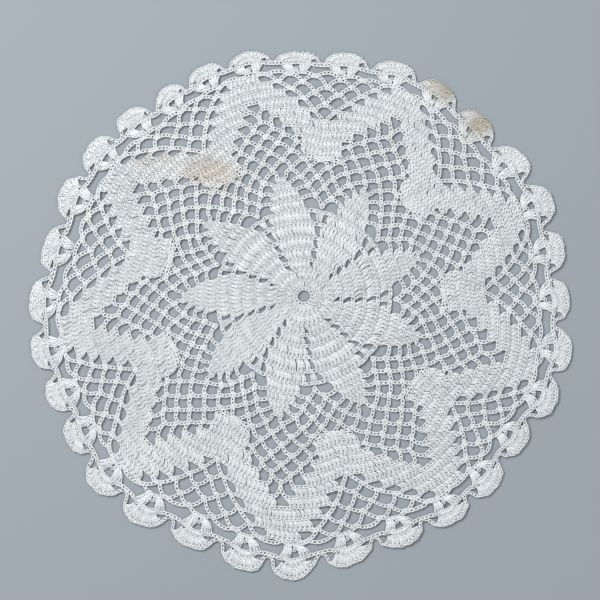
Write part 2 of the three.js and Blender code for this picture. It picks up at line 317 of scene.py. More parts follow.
# %% [markdown]
# ## Rows of solid stitches
#
# The solid parts are rows of tall stitches, side by side. One post could be given an Array
# modifier, but rows bend and widen. A row is told by where its heads and feet stand, so one
# function makes them all. Stitches lean: each foot goes into the row below a little behind
# its head, which gives the slanting slits of this lace. Every head is tied off by one chain
# stitch, and those make the braid along a row's top.

# %% One row, many times
STITCH = 2.4
STITCH_LOOSE = 0.12  # how much the heads and feet of a row are jittered
BRAID_WIDTH = 0.72  # a share of the usual chain


def solid_rows(part, axes, head_angle, head_radius, foot_angle, foot_radius, closed=False):
    """The same row at each axis: posts between heads and feet at angles from the axis, each
    as wide as the step from its neighbours' middles. A closed row meets its beginning."""
    def placed(angle, radius):
        at = place(*np.broadcast_arrays(axes[:, None] + angle, radius))
        if closed:
            step = (np.roll(at, -1, 1) - np.roll(at, 1, 1)) / 2
        else:
            step = np.gradient(at, axis=1)
        return at + jitter(at.shape, STITCH_LOOSE), step

    head, head_step = placed(head_angle, head_radius)
    foot, foot_step = placed(foot_angle, foot_radius)
    note_posts(part, foot, head, foot_step, head_step)
    top = head + head_step * LEAN / 2 / STITCH
    note_chains(part, top - head_step / 2, top + head_step / 2, BRAID_WIDTH, TOP_LIES)


def spread(stitches, half):
    """Middles of so many stitches, evenly from -half to half."""
    return np.linspace(-half, half, stitches)


# %% The disc, from a ring of chains
RING, DISC = 4.5, 15.6
RING_LIES = 0.9
DISC_ROWS = [(24, RING, 9.6), (36, 9.6, DISC)]  # posts, radius of their feet and heads

ring = RING * np.exp(1j * np.radians(np.linspace(0, 360, 61)))
note_rope(CENTRE, ring[None], lies=RING_LIES)
for count, low, high in DISC_ROWS:
    angle = 360 / count * (np.arange(count) + 0.5)
    solid_rows(CENTRE, np.zeros(1), angle, high, angle, low, closed=True)
print("posts in the disc:", sum(count for count, low, high in DISC_ROWS))

# %% [markdown]
# ## The petals
#
# Nine petals grow out of the disc. The maker adds a stitch at both ends of each row until
# the petal is widest, and then leaves them out again up to its tip. One petal could be
# turned eight times, but each lies a little differently. So each row is one call for all
# nine: the axes are a column and the stitches a row, and numpy pairs them.

# %% Rows of the petals
PETAL_ROWS = {  # round: stitches, radius of the row's top
    3: (5, 21.1), 4: (7, 27.4), 5: (9, 33.8), 6: (11, 41.6), 7: (10, 48.2),
    8: (8, 54.3), 9: (7, 59.6), 10: (5, 63.8), 11: (3, 67.1),
}
EDGE_TUCK = 0.4  # the outer stitches are pulled in by the loops beside them


def petal_half(k):
    """Half a petal row in degrees, to where the loops beside it are fastened."""
    count, top = PETAL_ROWS[k]
    return degrees((count - 1) * STITCH / 2, top)


below_count, below_top = PETAL_ROWS[3][0], DISC
for count, top in PETAL_ROWS.values():
    foot_count = min(count, below_count + 1)
    head_half = degrees((count - 1) * STITCH / 2 - EDGE_TUCK, top)
    foot_half = degrees((foot_count - 1) * STITCH / 2 - EDGE_TUCK, below_top)
    heads, feet = spread(count, head_half), spread(count, foot_half)
    solid_rows(CENTRE, PETALS, heads, top, feet, below_top)
    below_count, below_top = count, top
print("posts in a petal:", sum(count for count, top in PETAL_ROWS.values()))

# %% [markdown]
# ## The nets
#
# The net is what makes lace light: chains that hang in loops, each caught at its top by the
# next round. Loops could be drawn one by one, but a net is a grid. Loop (round, h) hangs
# between the crossings h - 1 and h + 1 of its round, and its top is the crossing h of the
# next. So one function for each net, from (round, h) to a place, gives every loop of it.

# %% Where the crossings are
FIRST_NET_ROUND, FIRST_STAR_ROUND, LAST_NET_ROUND = 8, 14, 23
NET_FIRST, NET_RISE = 50.5, 5.32  # the plain net's first radius, and its rise each round
STAR_FIRST, STAR_RISE = 83.4, 5.88  # the same for the star's rows on a pillar's axis
ROW_BOW, ROW_BOW_WITHIN = 7.2, 25  # millimetres that a star row rises outwards, and how soon
LOOP = 4  # degrees between a loop's end and its top
OUTER_EDGE = {14: 10.2, 15: 10.2, 16: 15.6, 17: 22.8, 18: 30, 19: 36}
INNER_EDGE = {18: 8.4, 19: 15.6, 20: 22.8, 21: 30.3, 22: 39}
DIAMOND_EDGE = {14: 4, 15: 5, 16: 4, 17: 3, 18: 2, 19: 1}  # h of the outermost crossing
PETAL_EDGE_LESS, ARM_EDGE_LESS = 6, 16  # in the other nets it is the round less so many
DIAMOND_STEP = {14: 3.85, 15: 3.5, 16: 3.3, 17: 3.2, 18: 3.1}  # degrees
OVER_STEP = 6.6  # millimetres between a loop's end and its top in the last net round
FOOT_LOW, FOOT_RISE = 134.5, 4
CAUGHT_BELOW = 0.8  # the first pillar row is worked over loops a little below its feet


def net_radius(k):
    """Loop ends of the plain net rise evenly, round by round."""
    return NET_FIRST + NET_RISE * (k - FIRST_NET_ROUND)


def row_top(k, off):
    """Top of a solid row near a pillar: lowest on its axis, and rising to each side by
    7.2 (1 - e^(-off / 25))."""
    bow = ROW_BOW * (1 - np.exp(-np.abs(off) / ROW_BOW_WITHIN))
    return STAR_FIRST + STAR_RISE * (k - FIRST_STAR_ROUND) + bow


def foot_radius(angle):
    """The last net round: a wave that is lowest on each pillar's axis."""
    from_pillar = angle - PETAL_AT - PILLAR_FROM_PETAL
    return FOOT_LOW + FOOT_RISE / 2 * (1 - np.cos(np.radians(from_pillar * REPEATS)))


def between_petals(k, h):
    """Angle from the middle between two petals, and radius: even steps from petal to petal,
    and past their tips steps of 4 degrees."""
    edge = k - PETAL_EDGE_LESS
    if k in PETAL_ROWS:
        radius = PETAL_ROWS[k][1] if abs(h) == edge else net_radius(k)
        return (NINTH / 2 - petal_half(k)) * h / edge, radius
    if k == FIRST_STAR_ROUND and h in (0, 2):
        return LOOP * h, row_top(FIRST_STAR_ROUND - 1, STITCH) - CAUGHT_BELOW
    return LOOP * h, net_radius(k)


def between_pillars(k, h):
    """Angle from the peak's axis, and radius: even steps, with the edges on the star's rows.
    The peak catches the last loop."""
    if k not in DIAMOND_EDGE:
        return 0, row_top(k - 1, OUTER_EDGE[k - 1])
    if abs(h) != DIAMOND_EDGE[k]:
        return h * DIAMOND_STEP[k], net_radius(k)
    top = row_top(k, OUTER_EDGE[k])
    return np.sign(h) * (NINTH / 2 - degrees(OUTER_EDGE[k], top)), top


def between_arms(k, h):
    """Angle from the pillar's axis, and radius: even steps along the curve of a star row."""
    edge = k - ARM_EDGE_LESS
    if k < LAST_NET_ROUND and abs(h) == edge:
        top = row_top(k, INNER_EDGE[k])
        return np.sign(h) * degrees(INNER_EDGE[k], top), top
    step = OVER_STEP if k >= LAST_NET_ROUND else INNER_EDGE[k] / edge
    radius = row_top(k - 1, step * h)
    return degrees(step * h, radius), radius


print("the plain net grows by", NET_RISE, "mm a round")

# %% Loops of chain
TOP_LOOSE = 0.25  # how much the tops of the loops are jittered
CATCH_IN, CATCH_OUT = 0.9, 0.8  # how far the short stitch reaches over a loop's top
KNOT_WIDTH, KNOT_LIES = 0.7, CHAIN_LIES + 0.2  # a short stitch that lies over others
SLACK = 0.12  # how far a loop that is worked over bows out, as a share of its length


def loop_path(start, end, top, points=25):
    """From start to end, bowed out so that the middle passes through top:
    the straight line plus bow times 1 - |2t - 1|^2.3."""
    t = np.linspace(0, 1, points)
    bow = top - (start + end) / 2
    rise = 1 - np.abs(2 * t - 1) ** 2.3
    return start[:, None] * (1 - t) + end[:, None] * t + bow[:, None] * rise


def note_loops(part, start, end, top, caught=True):
    """One loop for each place in the arrays. Where the next round catches it, a short
    stitch lies over its top."""
    top = top + jitter(top.shape, TOP_LOOSE)
    note_rope(part, loop_path(start, end, top))
    if caught:
        outwards = top - (start + end) / 2
        outwards /= np.abs(outwards)
        note_chains(
            part, top - CATCH_IN * outwards, top + CATCH_OUT * outwards, KNOT_WIDTH, KNOT_LIES
        )


def note_worked_over(part, start, bend, corner):
    """A loop that a solid row is worked over: the feet pull it straight from the bend to
    the corner of the row before, and only the rest of it hangs, bowed away from that corner
    by a half sine."""
    t = np.linspace(0, 1, 13)
    way = bend - start
    side = -np.sign(((corner - start) * np.conj(way)).imag)
    hanging = start[:, None] * (1 - t) + bend[:, None] * t
    hanging += SLACK * (side * way)[:, None] * 1j * np.sin(np.pi * t)
    pulled = bend[:, None] * (1 - t[1:]) + corner[:, None] * t[1:]
    note_rope(part, np.concatenate([hanging, pulled], axis=1))


def loops_inside(edge):
    """The h of every loop between the outermost crossings, -edge and edge."""
    return range(1 - edge, edge, 2)


def net(part, crossing, axes, loops, bends=None):
    """All the loops of one net. loops maps a round to its h values; bends gives, for a loop
    that a solid row is worked over, how far the row's feet reach along it."""
    made = 0
    for k, hs in loops.items():
        for h in hs:
            low, high = (
                place(axes + angle, radius)
                for angle, radius in (crossing(k, h - 1), crossing(k, h + 1))
            )
            bend = (bends or {}).get((k, abs(h)))
            if bend is None:
                angle, radius = crossing(k + 1, h)
                note_loops(part, low, high, place(axes + angle, radius))
            else:
                bent = place(axes + np.sign(h) * bend[0], bend[1])
                inner, corner = (low, high) if h > 0 else (high, low)
                note_worked_over(part, inner, bent, corner)
            made += REPEATS
    return made


# %% Between the petals
PETAL_LOOPS = {k: loops_inside(k - PETAL_EDGE_LESS) for k in (8, 9, 10, 11)}
PETAL_LOOPS |= {12: range(-3, 6, 2), 13: range(-2, 7, 2)}  # these go all the way round
BETWEEN = PETALS - NINTH / 2
count = net(NET, between_petals, BETWEEN, PETAL_LOOPS)
print("loops in the inner net:", count)

# %% Bars and clusters in the slots between the petals
BAR_ROUNDS, CLUSTER_ROUND = (3, 4, 5, 6), 7
BAR_POINTS, BAR_SAG = 7, 0.4
CLUSTER = 3  # stitches that fan out of the last bar
CLUSTER_FOOT_HALF, CLUSTER_TOP_HALF = 0.7, 1.5  # millimetres

for k in BAR_ROUNDS:
    half = NINTH / 2 - petal_half(k)
    bar = BETWEEN[:, None] + np.linspace(-half, half, BAR_POINTS)
    sag = BAR_SAG * np.cos(np.linspace(-1.5, 1.5, BAR_POINTS))
    note_rope(NET, place(bar, PETAL_ROWS[k][1] - sag))

cluster_foot, cluster_top = PETAL_ROWS[CLUSTER_ROUND - 1][1], PETAL_ROWS[CLUSTER_ROUND][1]
heads = spread(CLUSTER, degrees(CLUSTER_TOP_HALF, cluster_top))
feet = spread(CLUSTER, degrees(CLUSTER_FOOT_HALF, cluster_foot))
solid_rows(NET, BETWEEN, heads, cluster_top, feet, cluster_foot)
for side in (-1, 1):
    inner = side * degrees(CLUSTER_TOP_HALF, cluster_top)
    outer = side * (NINTH / 2 - petal_half(CLUSTER_ROUND))
    reach = BETWEEN[:, None] + np.linspace(inner, outer, 5)
    note_rope(NET, place(reach, cluster_top))
print("bars in a slot:", len(BAR_ROUNDS), " posts in its cluster:", CLUSTER)

# %% [markdown]
# ## The star
#
# Nine pillars grow into forks, and the arms of two neighbours meet in a peak. They could be
# made before the nets, but on the real doily both are worked in the same rounds, and here a
# row that shares its feet with the net joins it without a seam. Every row steps outwards by
# three stitches, which are worked over the last loop of the net beside it.

# %% Pillars, arms and peaks
STAR_ROWS = {14: 10, 15: 10, 16: 15, 17: 21, 18: 10, 19: 10}  # stitches, from 18 in each arm
PEAK_ROWS = {20: 19, 21: 13, 22: 7}
PILLARS = PETALS + PILLAR_FROM_PETAL
PEAKS = PETALS + PEAK_FROM_PETAL

first_feet = np.linspace(-OUTER_EDGE[14], OUTER_EDGE[14], 25)
feet_lie = row_top(FIRST_STAR_ROUND - 1, first_feet)
note_rope(BORDER, place(PILLARS[:, None] + degrees(first_feet, feet_lie), feet_lie))

for k, stitches in STAR_ROWS.items():
    near, far = INNER_EDGE.get(k), OUTER_EDGE[k]
    for ends in [(near, far), (-far, -near)] if near else [(-far, far)]:
        off = np.linspace(*ends, stitches)
        top, bottom = row_top(k, off), row_top(k - 1, off)
        solid_rows(BORDER, PILLARS, degrees(off, top), top, degrees(off, bottom), bottom)

for k, stitches in PEAK_ROWS.items():
    half = NINTH / 2 - degrees(INNER_EDGE[k], row_top(k, INNER_EDGE[k]))
    from_peak = spread(stitches, half)
    off = np.radians(NINTH / 2 - np.abs(from_peak)) * PEAK_RADIUS
    solid_rows(BORDER, PEAKS, from_peak, row_top(k, off), from_peak, row_top(k - 1, off))
print("posts in the star:", sum(len(notes) for notes in basket[BORDER]["posts"]))

# %% The nets inside and above the star
DIAMOND_LOOPS = {k: loops_inside(edge) for k, edge in DIAMOND_EDGE.items()}
ARM_LOOPS = {k: loops_inside(k - ARM_EDGE_LESS) for k in INNER_EDGE}
WORKED_OVER = (15, 16, 17, 18)  # rounds whose outermost loops the star is worked over


def row_bend(k):
    """Where the feet of the next row end on a loop of this round: at that row's far edge."""
    off = OUTER_EDGE[k + 1]
    return NINTH / 2 - degrees(off, row_top(k, off)), row_top(k, off)


diamond_bends = {(k, DIAMOND_EDGE[k] - 1): row_bend(k) for k in WORKED_OVER}
count = net(BORDER, between_pillars, PEAKS, DIAMOND_LOOPS, diamond_bends)
count += net(BORDER, between_arms, PILLARS, ARM_LOOPS)
print("loops in the outer nets:", count)

# %% [markdown]
# ## The edging
#
# On every second loop of the last net round stands a V of stitches with a small window in
# it, and a fan of two rows opens out of each V. A chain joins each V to the next, and the
# rims of two neighbouring fans come down to it as open chains. That leaves a notch between
# the fans and a small hole beside each.
#
# One shell could be copied 32 times, but no two stand alike. So each post's place is worked
# out for all shells at once, a column of shells by a row of posts, with each shell's own
# sway and height.

# %% Edging places
SHELLS = 32
SHELL_STEP = 360 / SHELLS
FIRST_SHELL = -0.6
SHELL_TOP, VALLEY = 19.4, 9.8
numbers = np.arange(SHELLS)
SWAY = random.normal(scale=0.6, size=SHELLS)  # millimetres that a shell's top leans sideways
TALLER = random.normal(scale=0.35, size=SHELLS)


def shell_angle(i):
    """Degrees of shell i as it lies."""
    even = SHELL_STEP * i
    return FIRST_SHELL + even + around(SHELL, even, PETAL_AT + PEAK_FROM_PETAL)


def edge_place(angle, beyond):
    """A point so many millimetres beyond the last net round, at an angle as it lies, which
    is turned back to find that round's even radius."""
    radius = foot_radius(angle - turn(angle, FOOT_LOW)) + beyond
    return radius * stretch(angle, FOOT_LOW + beyond) * np.exp(1j * np.radians(angle))


def beside(i, along, beyond):
    """A point of shell i, so many millimetres along the edge from its middle, and swayed
    in step with how far beyond the net it is."""
    along = along + SWAY[i % SHELLS] * beyond / SHELL_TOP
    return edge_place(shell_angle(i) + degrees(along, FOOT_LOW), beyond)


print("shells lean by up to", np.abs(SWAY).max().round(1), "mm")

# %% The last net round
LAST_END = 7  # the outermost loop end on each side of a pillar


def last_end(h):
    """Angle from the pillar's axis, and radius. The outermost ends of two neighbours meet
    half way between their pillars."""
    if abs(h) == LAST_END:
        return np.sign(h) * NINTH / 2, row_top(LAST_NET_ROUND - 1, OVER_STEP * LAST_END)
    return between_arms(LAST_NET_ROUND, h)


for h in loops_inside(LAST_END):
    ends = [last_end(h - 1), last_end(h + 1)]
    middle = (ends[0][0] + ends[1][0]) / 2
    start, end = (place(PILLARS + angle, radius) for angle, radius in ends)
    top = place(PILLARS + middle, foot_radius(PILLARS + middle))
    note_loops(BORDER, start, end, top, caught=False)
print("loops in the last net round:", REPEATS * len(loops_inside(LAST_END)))

# %% The V stems
STEM_TALL = 8.4
STEM_FEET = np.array([1.0, 2.0, 3.0])
STEM_HEADS = np.array([4.1, 5.9, 7.8])
STEM_DROPS = np.array([0, 0.1, 0.6])  # how much lower each head stands
STEM_LIFTS = np.array([0, 0.18, -0.05])
STEM_LOOSE = 0.15
STEM_FOOT_WIDTH, STEM_HEAD_WIDTH = 2.1, 2.5
BRAID_HALF = 0.9
SHORT_TALL = 3.4  # a short stitch fills the bottom of the V
BRIDGE_ABOVE, BRIDGE_BOW = 0.7, 0.9  # the chain that closes the window bows up
i = numbers[:, None]


def crosswise(foot, head):
    """The unit direction to the left of the way from foot to head."""
    return 1j * (head - foot) / np.abs(head - foot)


def note_leaning(foot, head, foot_width, head_width, lift):
    """Posts that fan out of a small space: each keeps its own width, square to itself, and
    the lifts let one lie over the next."""
    side = crosswise(foot, head)
    lies = np.broadcast_to(POST_LIES + lift, foot.shape)
    note_posts(BORDER, foot, head, foot_width * side, head_width * side, lies)


for side in (-1, 1):
    feet = beside(i, side * STEM_FEET, -0.8)
    heads = beside(i, side * STEM_HEADS, STEM_TALL - STEM_DROPS) + jitter((SHELLS, 3), STEM_LOOSE)
    note_leaning(feet, heads, STEM_FOOT_WIDTH, STEM_HEAD_WIDTH, STEM_LIFTS)
    braid = BRAID_HALF * crosswise(feet, heads)
    note_chains(BORDER, heads - braid, heads + braid, 0.85, TOP_LIES)
short_head = beside(i, 0, SHORT_TALL)
note_leaning(beside(i, 0, -1.0), short_head, 1.5, 2.2, 0.1)
knot = crosswise(beside(i, 0, 0), short_head)
note_chains(BORDER, short_head - knot, short_head + knot, KNOT_WIDTH, KNOT_LIES)
bridge = np.linspace(-STEM_HEADS[0], STEM_HEADS[0], 9)
bridge_bow = BRIDGE_BOW * (bridge / STEM_HEADS[0]) ** 2
note_rope(BORDER, beside(i, bridge, STEM_TALL + BRIDGE_ABOVE - bridge_bow))
print("posts in a V:", 2 * len(STEM_FEET) + 1)

# %% The fans
INNER_FAN, OUTER_FAN = 7, 11
INNER_REACH, OUTER_REACH = 56, 60  # degrees of a half circle that each row fans over
FAN_LOOSE = 0.2
FAN_MIDDLE = 0.46  # how far from the V to the rim the first row of a fan reaches
FAN_TUCK = 0.06  # how far under its heads the second row starts
FAN_FEET_HALF = 2.4
NOTCH = 2.5  # half the way between two fans
RIM_IN = 0.8  # the posts end this far inside the rim


def rim_place(i, across, drawn_in):
    """A point of a fan's rim: across runs from -1 to 1 between the valleys. The rim rises
    from valley to top by (1 - |across|^2.5)^0.6, close to half an ellipse."""
    middle = shell_angle(i)
    left = (shell_angle(i - 1) + middle) / 2
    right = (middle + shell_angle(i + 1)) / 2
    notch = degrees(NOTCH + 0.4 * drawn_in, FOOT_LOW)
    half = np.where(across < 0, middle - left, right - middle) - notch
    rise = np.clip(1 - np.abs(across) ** 2.5, 0, 1) ** 0.6
    beyond = VALLEY + (SHELL_TOP + TALLER[i % SHELLS] - VALLEY - drawn_in) * rise
    sway = degrees(SWAY[i % SHELLS] * rise, FOOT_LOW)
    return edge_place(middle + across * half + sway, beyond)


def fan_row(feet, heads, foot_width, head_width):
    """One row of a fan: posts that lie a little over each other by turns, each tied off by
    a chain stitch along the row's edge."""
    step = np.gradient(heads, axis=1)
    by_turns = 0.08 * (-1) ** np.arange(heads.shape[1])
    note_leaning(feet, heads, foot_width, head_width, 0.1 + by_turns)
    note_chains(BORDER, heads - step / 2, heads + step / 2, 0.8, TOP_LIES)
    return step


def half_way(stitches, reach, share):
    """Places at a share of the way from the V's bridge to the rim."""
    evenly = np.linspace(-1, 1, stitches)
    bridge = beside(i, FAN_FEET_HALF * evenly, STEM_TALL)
    rim = rim_place(i, np.sin(np.radians(reach * evenly)), RIM_IN)
    return bridge + share * (rim - bridge)


rim = half_way(OUTER_FAN, OUTER_REACH, 1) + jitter((SHELLS, OUTER_FAN), FAN_LOOSE)
inner_feet = half_way(INNER_FAN, INNER_REACH, 0)
inner_heads = half_way(INNER_FAN, INNER_REACH, FAN_MIDDLE)
outer_feet = half_way(OUTER_FAN, OUTER_REACH, FAN_MIDDLE - FAN_TUCK)
fan_row(inner_feet, inner_heads, 1.4, 2.6)
rim_step = fan_row(outer_feet, rim, 2.1, 3.0)
print("posts in a fan:", INNER_FAN + OUTER_FAN)

# %% Chains from V to V, and the ends of the rims
DIP = 6.6
CHAIN_DROP = 1.2  # the chain leaves a V this far below its heads
out_of_v = STEM_HEADS[-1] + 0.5
start = beside(i, out_of_v, STEM_TALL - CHAIN_DROP)[:, 0]
end = beside(i + 1, -out_of_v, STEM_TALL - CHAIN_DROP)[:, 0]
middle = (shell_angle(numbers) + shell_angle(numbers + 1)) / 2
note_rope(BORDER, loop_path(start, end, edge_place(middle, DIP)))
for side, last, way in ((-1, rim[:, 0], -rim_step[:, 0]), (1, rim[:, -1], rim_step[:, -1])):
    valley = rim_place(i, np.array([float(side)]), 0.4)[:, 0]
    between = (shell_angle(numbers) + shell_angle(numbers + side)) / 2
    landing = edge_place(between - side * degrees(0.9, FOOT_LOW), DIP + 0.9)
    note_rope(BORDER, np.stack([last + way / 2, valley, landing], axis=1), TOP_LIES, width=0.85)
dip, valley = edge_place(middle, DIP), edge_place(middle, VALLEY - 0.9)
note_leaning(dip, valley, 2.6, 1.9, 0.1)
print("shells:", SHELLS)

# %% [markdown]
# ## Laying the yarn
#
# Now each note becomes yarn. Instances would copy a stitch unchanged, but each must fit its
# place. So the points of the one stitch are multiplied by every stitch's own directions at
# once, which gives an array of (stitches, corners, 3). Slow waves then shift and lift whole
# neighbourhoods, so the cloth stays joined but is never even.

# %% All stitches of one part as arrays
FUZZ = 0.035  # thread is never quite round: each corner is off by about this much
WANDER, RIPPLE = 0.3, 0.14  # millimetres, sideways and upwards
PLUMP, PLUMP_SPREAD = 1.09, 0.08  # posts are not all equally wide
TWIST_FROM = np.array([0, 9.0])  # the twist starts anywhere in the first 9 mm of the yarn


def wander(plane):
    """Loops never hang all alike: smooth waves shift whole neighbourhoods, by about 0.4 mm."""
    x, y = plane.real, plane.imag
    sideways = (
        np.sin(x / 4.1 + 0.7 * np.sin(y / 6.3)) * np.cos(y / 5.2 + 1)
        + 0.8 * np.sin((x + y) / 9.7)
    )
    upwards = (
        np.sin(y / 4.6 + 0.8 * np.sin(x / 5.7) + 2) * np.cos(x / 6.1)
        + 0.8 * np.cos((x - y) / 8.9)
    )
    return WANDER * (sideways + 1j * upwards)


def undulation(plane):
    """Pressed cloth still ripples a little: three slow waves, in millimetres."""
    x, y = plane.real, plane.imag
    crossed = np.sin(x / 13 + 1.3) * np.cos(y / 17)
    slanted = np.sin((x - y) / 9.5)
    return RIPPLE * (crossed + slanted + 1.2 * np.cos((x + 2 * y) / 31))


def lay_chains(notes):
    """corner = start + x along + y across, where along and across share one direction, and
    z above where the stitch lies. Returns places, heights, quads and map."""
    start, end, width, lies = notes.T
    points, quads, uv = CHAIN
    direction = (end - start) / CHAIN_PITCH
    normal = 1j * direction / np.abs(direction) * width.real
    plane = start[:, None] + points[:, 0] * direction[:, None] + points[:, 1] * normal[:, None]
    return plane, lies.real[:, None] + points[:, 2], quads, uv


def lay_posts(notes):
    """corner = foot + y (head - foot) + x across, where across widens with y from the
    foot's step to the head's. Steps run left-handed, so the faces are turned round."""
    foot, head, foot_step, head_step, lies = notes.T
    points, quads, uv = POST
    y = points[:, 1]
    plump = random.normal(PLUMP, PLUMP_SPREAD, len(foot))[:, None]
    step = plump * (foot_step[:, None] * (1 - y) + head_step[:, None] * y)
    plane = foot[:, None] + y * (head - foot)[:, None] + points[:, 0] * step / STITCH
    return plane, lies.real[:, None] + points[:, 2], quads[:, ::-1], uv[:, ::-1]


def gathered(part, facing=None):
    """Points, quads, uv, a random tone for each stitch and each point's height in the cloth,
    for a part or for its quarter that faces so many degrees."""
    made, base = [], 0
    for kind, lay in (("chains", lay_chains), ("posts", lay_posts)):
        notes = np.concatenate(basket[part][kind])
        if facing is not None:
            off = np.angle(notes[:, 0] * np.exp(-1j * np.radians(facing)))
            notes = notes[np.abs(off) <= np.pi / 4]
        plane, rise, quads, uv = lay(notes)
        count, corners = plane.shape
        height = rise + undulation(plane)
        plane = plane + wander(plane)
        points = np.stack([plane.real, plane.imag, height], 2)
        points += random.normal(scale=FUZZ, size=points.shape)
        quads = quads + base + corners * np.arange(count)[:, None, None]
        uv = uv + random.random((count, 1, 1, 1)) * TWIST_FROM
        tone = np.repeat(random.random(count), corners)
        flat = (points.reshape(-1, 3), quads.reshape(-1, 4), uv.reshape(-1, 2), tone, rise.ravel())
        made.append(flat)
        base += count * corners
    return tuple(np.concatenate(lists) for lists in zip(*made))


# %% Six pieces of yarn
# The border is one cloth. Its mesh is cut in four, between whole stitches, to stay light.
QUARTERS = {"border_east": 0, "border_north": 90, "border_west": 180, "border_south": 270}
RING_LIES_AT = (1.84, 9.76)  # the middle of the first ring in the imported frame
GROUND = 0.1  # millimetres up that the lowest yarn lies

yarn = {CENTRE: gathered(CENTRE), NET: gathered(NET)}
yarn |= {name: gathered(BORDER, facing) for name, facing in QUARTERS.items()}
lowest = np.min([p.min(0) for p, *rest in yarn.values()], axis=0)
highest = np.max([p.max(0) for p, *rest in yarn.values()], axis=0)
shift = np.array([*RING_LIES_AT, GROUND - lowest[2]])
print("the yarn reaches, in mm:", np.round(highest - lowest, 1))
print("shift to the frame, in mm:", np.round(shift, 2))

# %% Meshes
MILLIMETRE = 0.001


def added(name, data):
    """A new object in the scene."""
    thing = bpy.data.objects.new(name, data)
    bpy.context.scene.collection.objects.link(thing)
    return thing


def yarn_mesh(name, points, quads, uv, tone, rise):
    """A smooth mesh with its own UV map, and tone and rise as attributes of its points."""
    mesh = bpy.data.meshes.new(name)
    mesh.vertices.add(len(points))
    mesh.vertices.foreach_set("co", points.astype(np.float32).ravel())
    mesh.loops.add(quads.size)
    mesh.loops.foreach_set("vertex_index", quads.astype(np.int32).ravel())
    mesh.polygons.add(len(quads))
    mesh.polygons.foreach_set("loop_start", np.arange(0, quads.size, 4, dtype=np.int32))
    mesh.polygons.foreach_set("loop_total", np.full(len(quads), 4, dtype=np.int32))
    mesh.update(calc_edges=True)
    mesh.shade_smooth()
    mesh.uv_layers.new(name="yarn").data.foreach_set("uv", uv.astype(np.float32).ravel())
    for label, values in (("tone", tone), ("rise", rise)):
        attribute = mesh.attributes.new(label, "FLOAT", "POINT")
        attribute.data.foreach_set("value", values.astype(np.float32))
    return added(name, mesh)


pieces = {
    name: yarn_mesh(name, (points + shift) * MILLIMETRE, *rest)
    for name, (points, *rest) in yarn.items()
}
triangles = {name: 2 * len(piece.data.polygons) for name, piece in pieces.items()}
print("triangles:", triangles, " all:", sum(triangles.values()))

# %% [markdown]
# ## Cotton
#
# White crochet cotton is matt with a faint silky gloss, because the yarn is twisted tightly
# from plies. Modelled plies would take ten times the faces, so they are a bump: a wave that
# climbs round each tube, from the tube's own map of turns round and millimetres along. Age
# and handling leave the white a little uneven, and old marks have dried in: tea across one
# pillar and its arm, and dust on two shells. Seen from above, yarn that lies deep is painted
# darker: painted shade in its colour, for the shade that the fibres over it cast.

# %% Helpers for materials
COLOUR_A, COLOUR_B, COLOUR_OUT = 6, 7, 2  # the sockets of a Mix node that hold colours


def feed(made, values):
    """Sets a node's inputs: a socket is linked to its input, and anything else is its value."""
    for key, value in values.items():
        if isinstance(value, bpy.types.NodeSocket):
            made.id_data.links.new(value, made.inputs[key])
        else:
            made.inputs[key].default_value = value


def node(tree, kind, **values):
    """A new node with its named properties and inputs set."""
    made = tree.nodes.new(kind)
    for key in [key for key in values if hasattr(made, key)]:
        setattr(made, key, values.pop(key))
    feed(made, values)
    return made


def math(tree, operation, *values):
    """One Math node, of sockets or numbers."""
    made = node(tree, "ShaderNodeMath", operation=operation)
    feed(made, dict(enumerate(values)))
    return made.outputs[0]


def noise(tree, place_at, scale, detail):
    """A noise from 0 to 1 at each place."""
    made = node(tree, "ShaderNodeTexNoise", Vector=place_at, Scale=scale, Detail=detail)
    return made.outputs["Fac"]


def ranged(tree, value, start, end, to=1.0, way="LINEAR"):
    """0 at start and before, to at end and after, and in between a straight line, or
    3t^2 - 2t^3 where the way is SMOOTHSTEP."""
    values = {"Value": value, "From Min": start, "From Max": end, "To Max": to}
    return node(tree, "ShaderNodeMapRange", interpolation_type=way, **values).outputs[0]


def blended(tree, factor, first, second):
    """A colour between two, by a factor."""
    made = node(tree, "ShaderNodeMix", data_type="RGBA", Factor=factor)
    feed(made, {COLOUR_A: first, COLOUR_B: second})
    return made.outputs[COLOUR_OUT]


# %% The white, and its painted shade between the stitches
WHITE = (0.82, 0.842, 0.848, 1)
SHADE = (0.64, 0.665, 0.675, 1)
PAINTED_DEEP_SHADE = (0.22, 0.23, 0.24, 1)  # painted shade between the stitches, where the fibres shade each other
DEEP_TO, DEEP_FROM = 1.1, 0.55  # millimetres up in the cloth, where the painted shade ends and is full
DEEPEST = 0.9  # how much of the painted shade shows where it is full
FACES_DOWN, FACES_UP = -0.35, 0.1  # upright share of a normal, to keep the painted shade off the underside


def uneven_white(tree, place_at):
    """White to shade by each stitch's tone times a slow noise."""
    tone = node(tree, "ShaderNodeAttribute", attribute_name="tone").outputs["Fac"]
    mottle = noise(tree, place_at, scale=45.0, detail=4.0)
    return blended(tree, math(tree, "MULTIPLY", tone, mottle), WHITE, SHADE)


def painted_deep_shade(tree, colour):
    """Painted shade between the stitches: towards a dark colour where a point lies low in the
    cloth, times how far its face looks up."""
    rise = node(tree, "ShaderNodeAttribute", attribute_name="rise").outputs["Fac"]
    deep = ranged(tree, rise, DEEP_TO, DEEP_FROM, DEEPEST)
    normal = node(tree, "ShaderNodeNewGeometry").outputs["Normal"]
    upright = node(tree, "ShaderNodeSeparateXYZ", Vector=normal).outputs["Z"]
    upper = ranged(tree, upright, FACES_DOWN, FACES_UP)
    return blended(tree, math(tree, "MULTIPLY", deep, upper), colour, PAINTED_DEEP_SHADE)


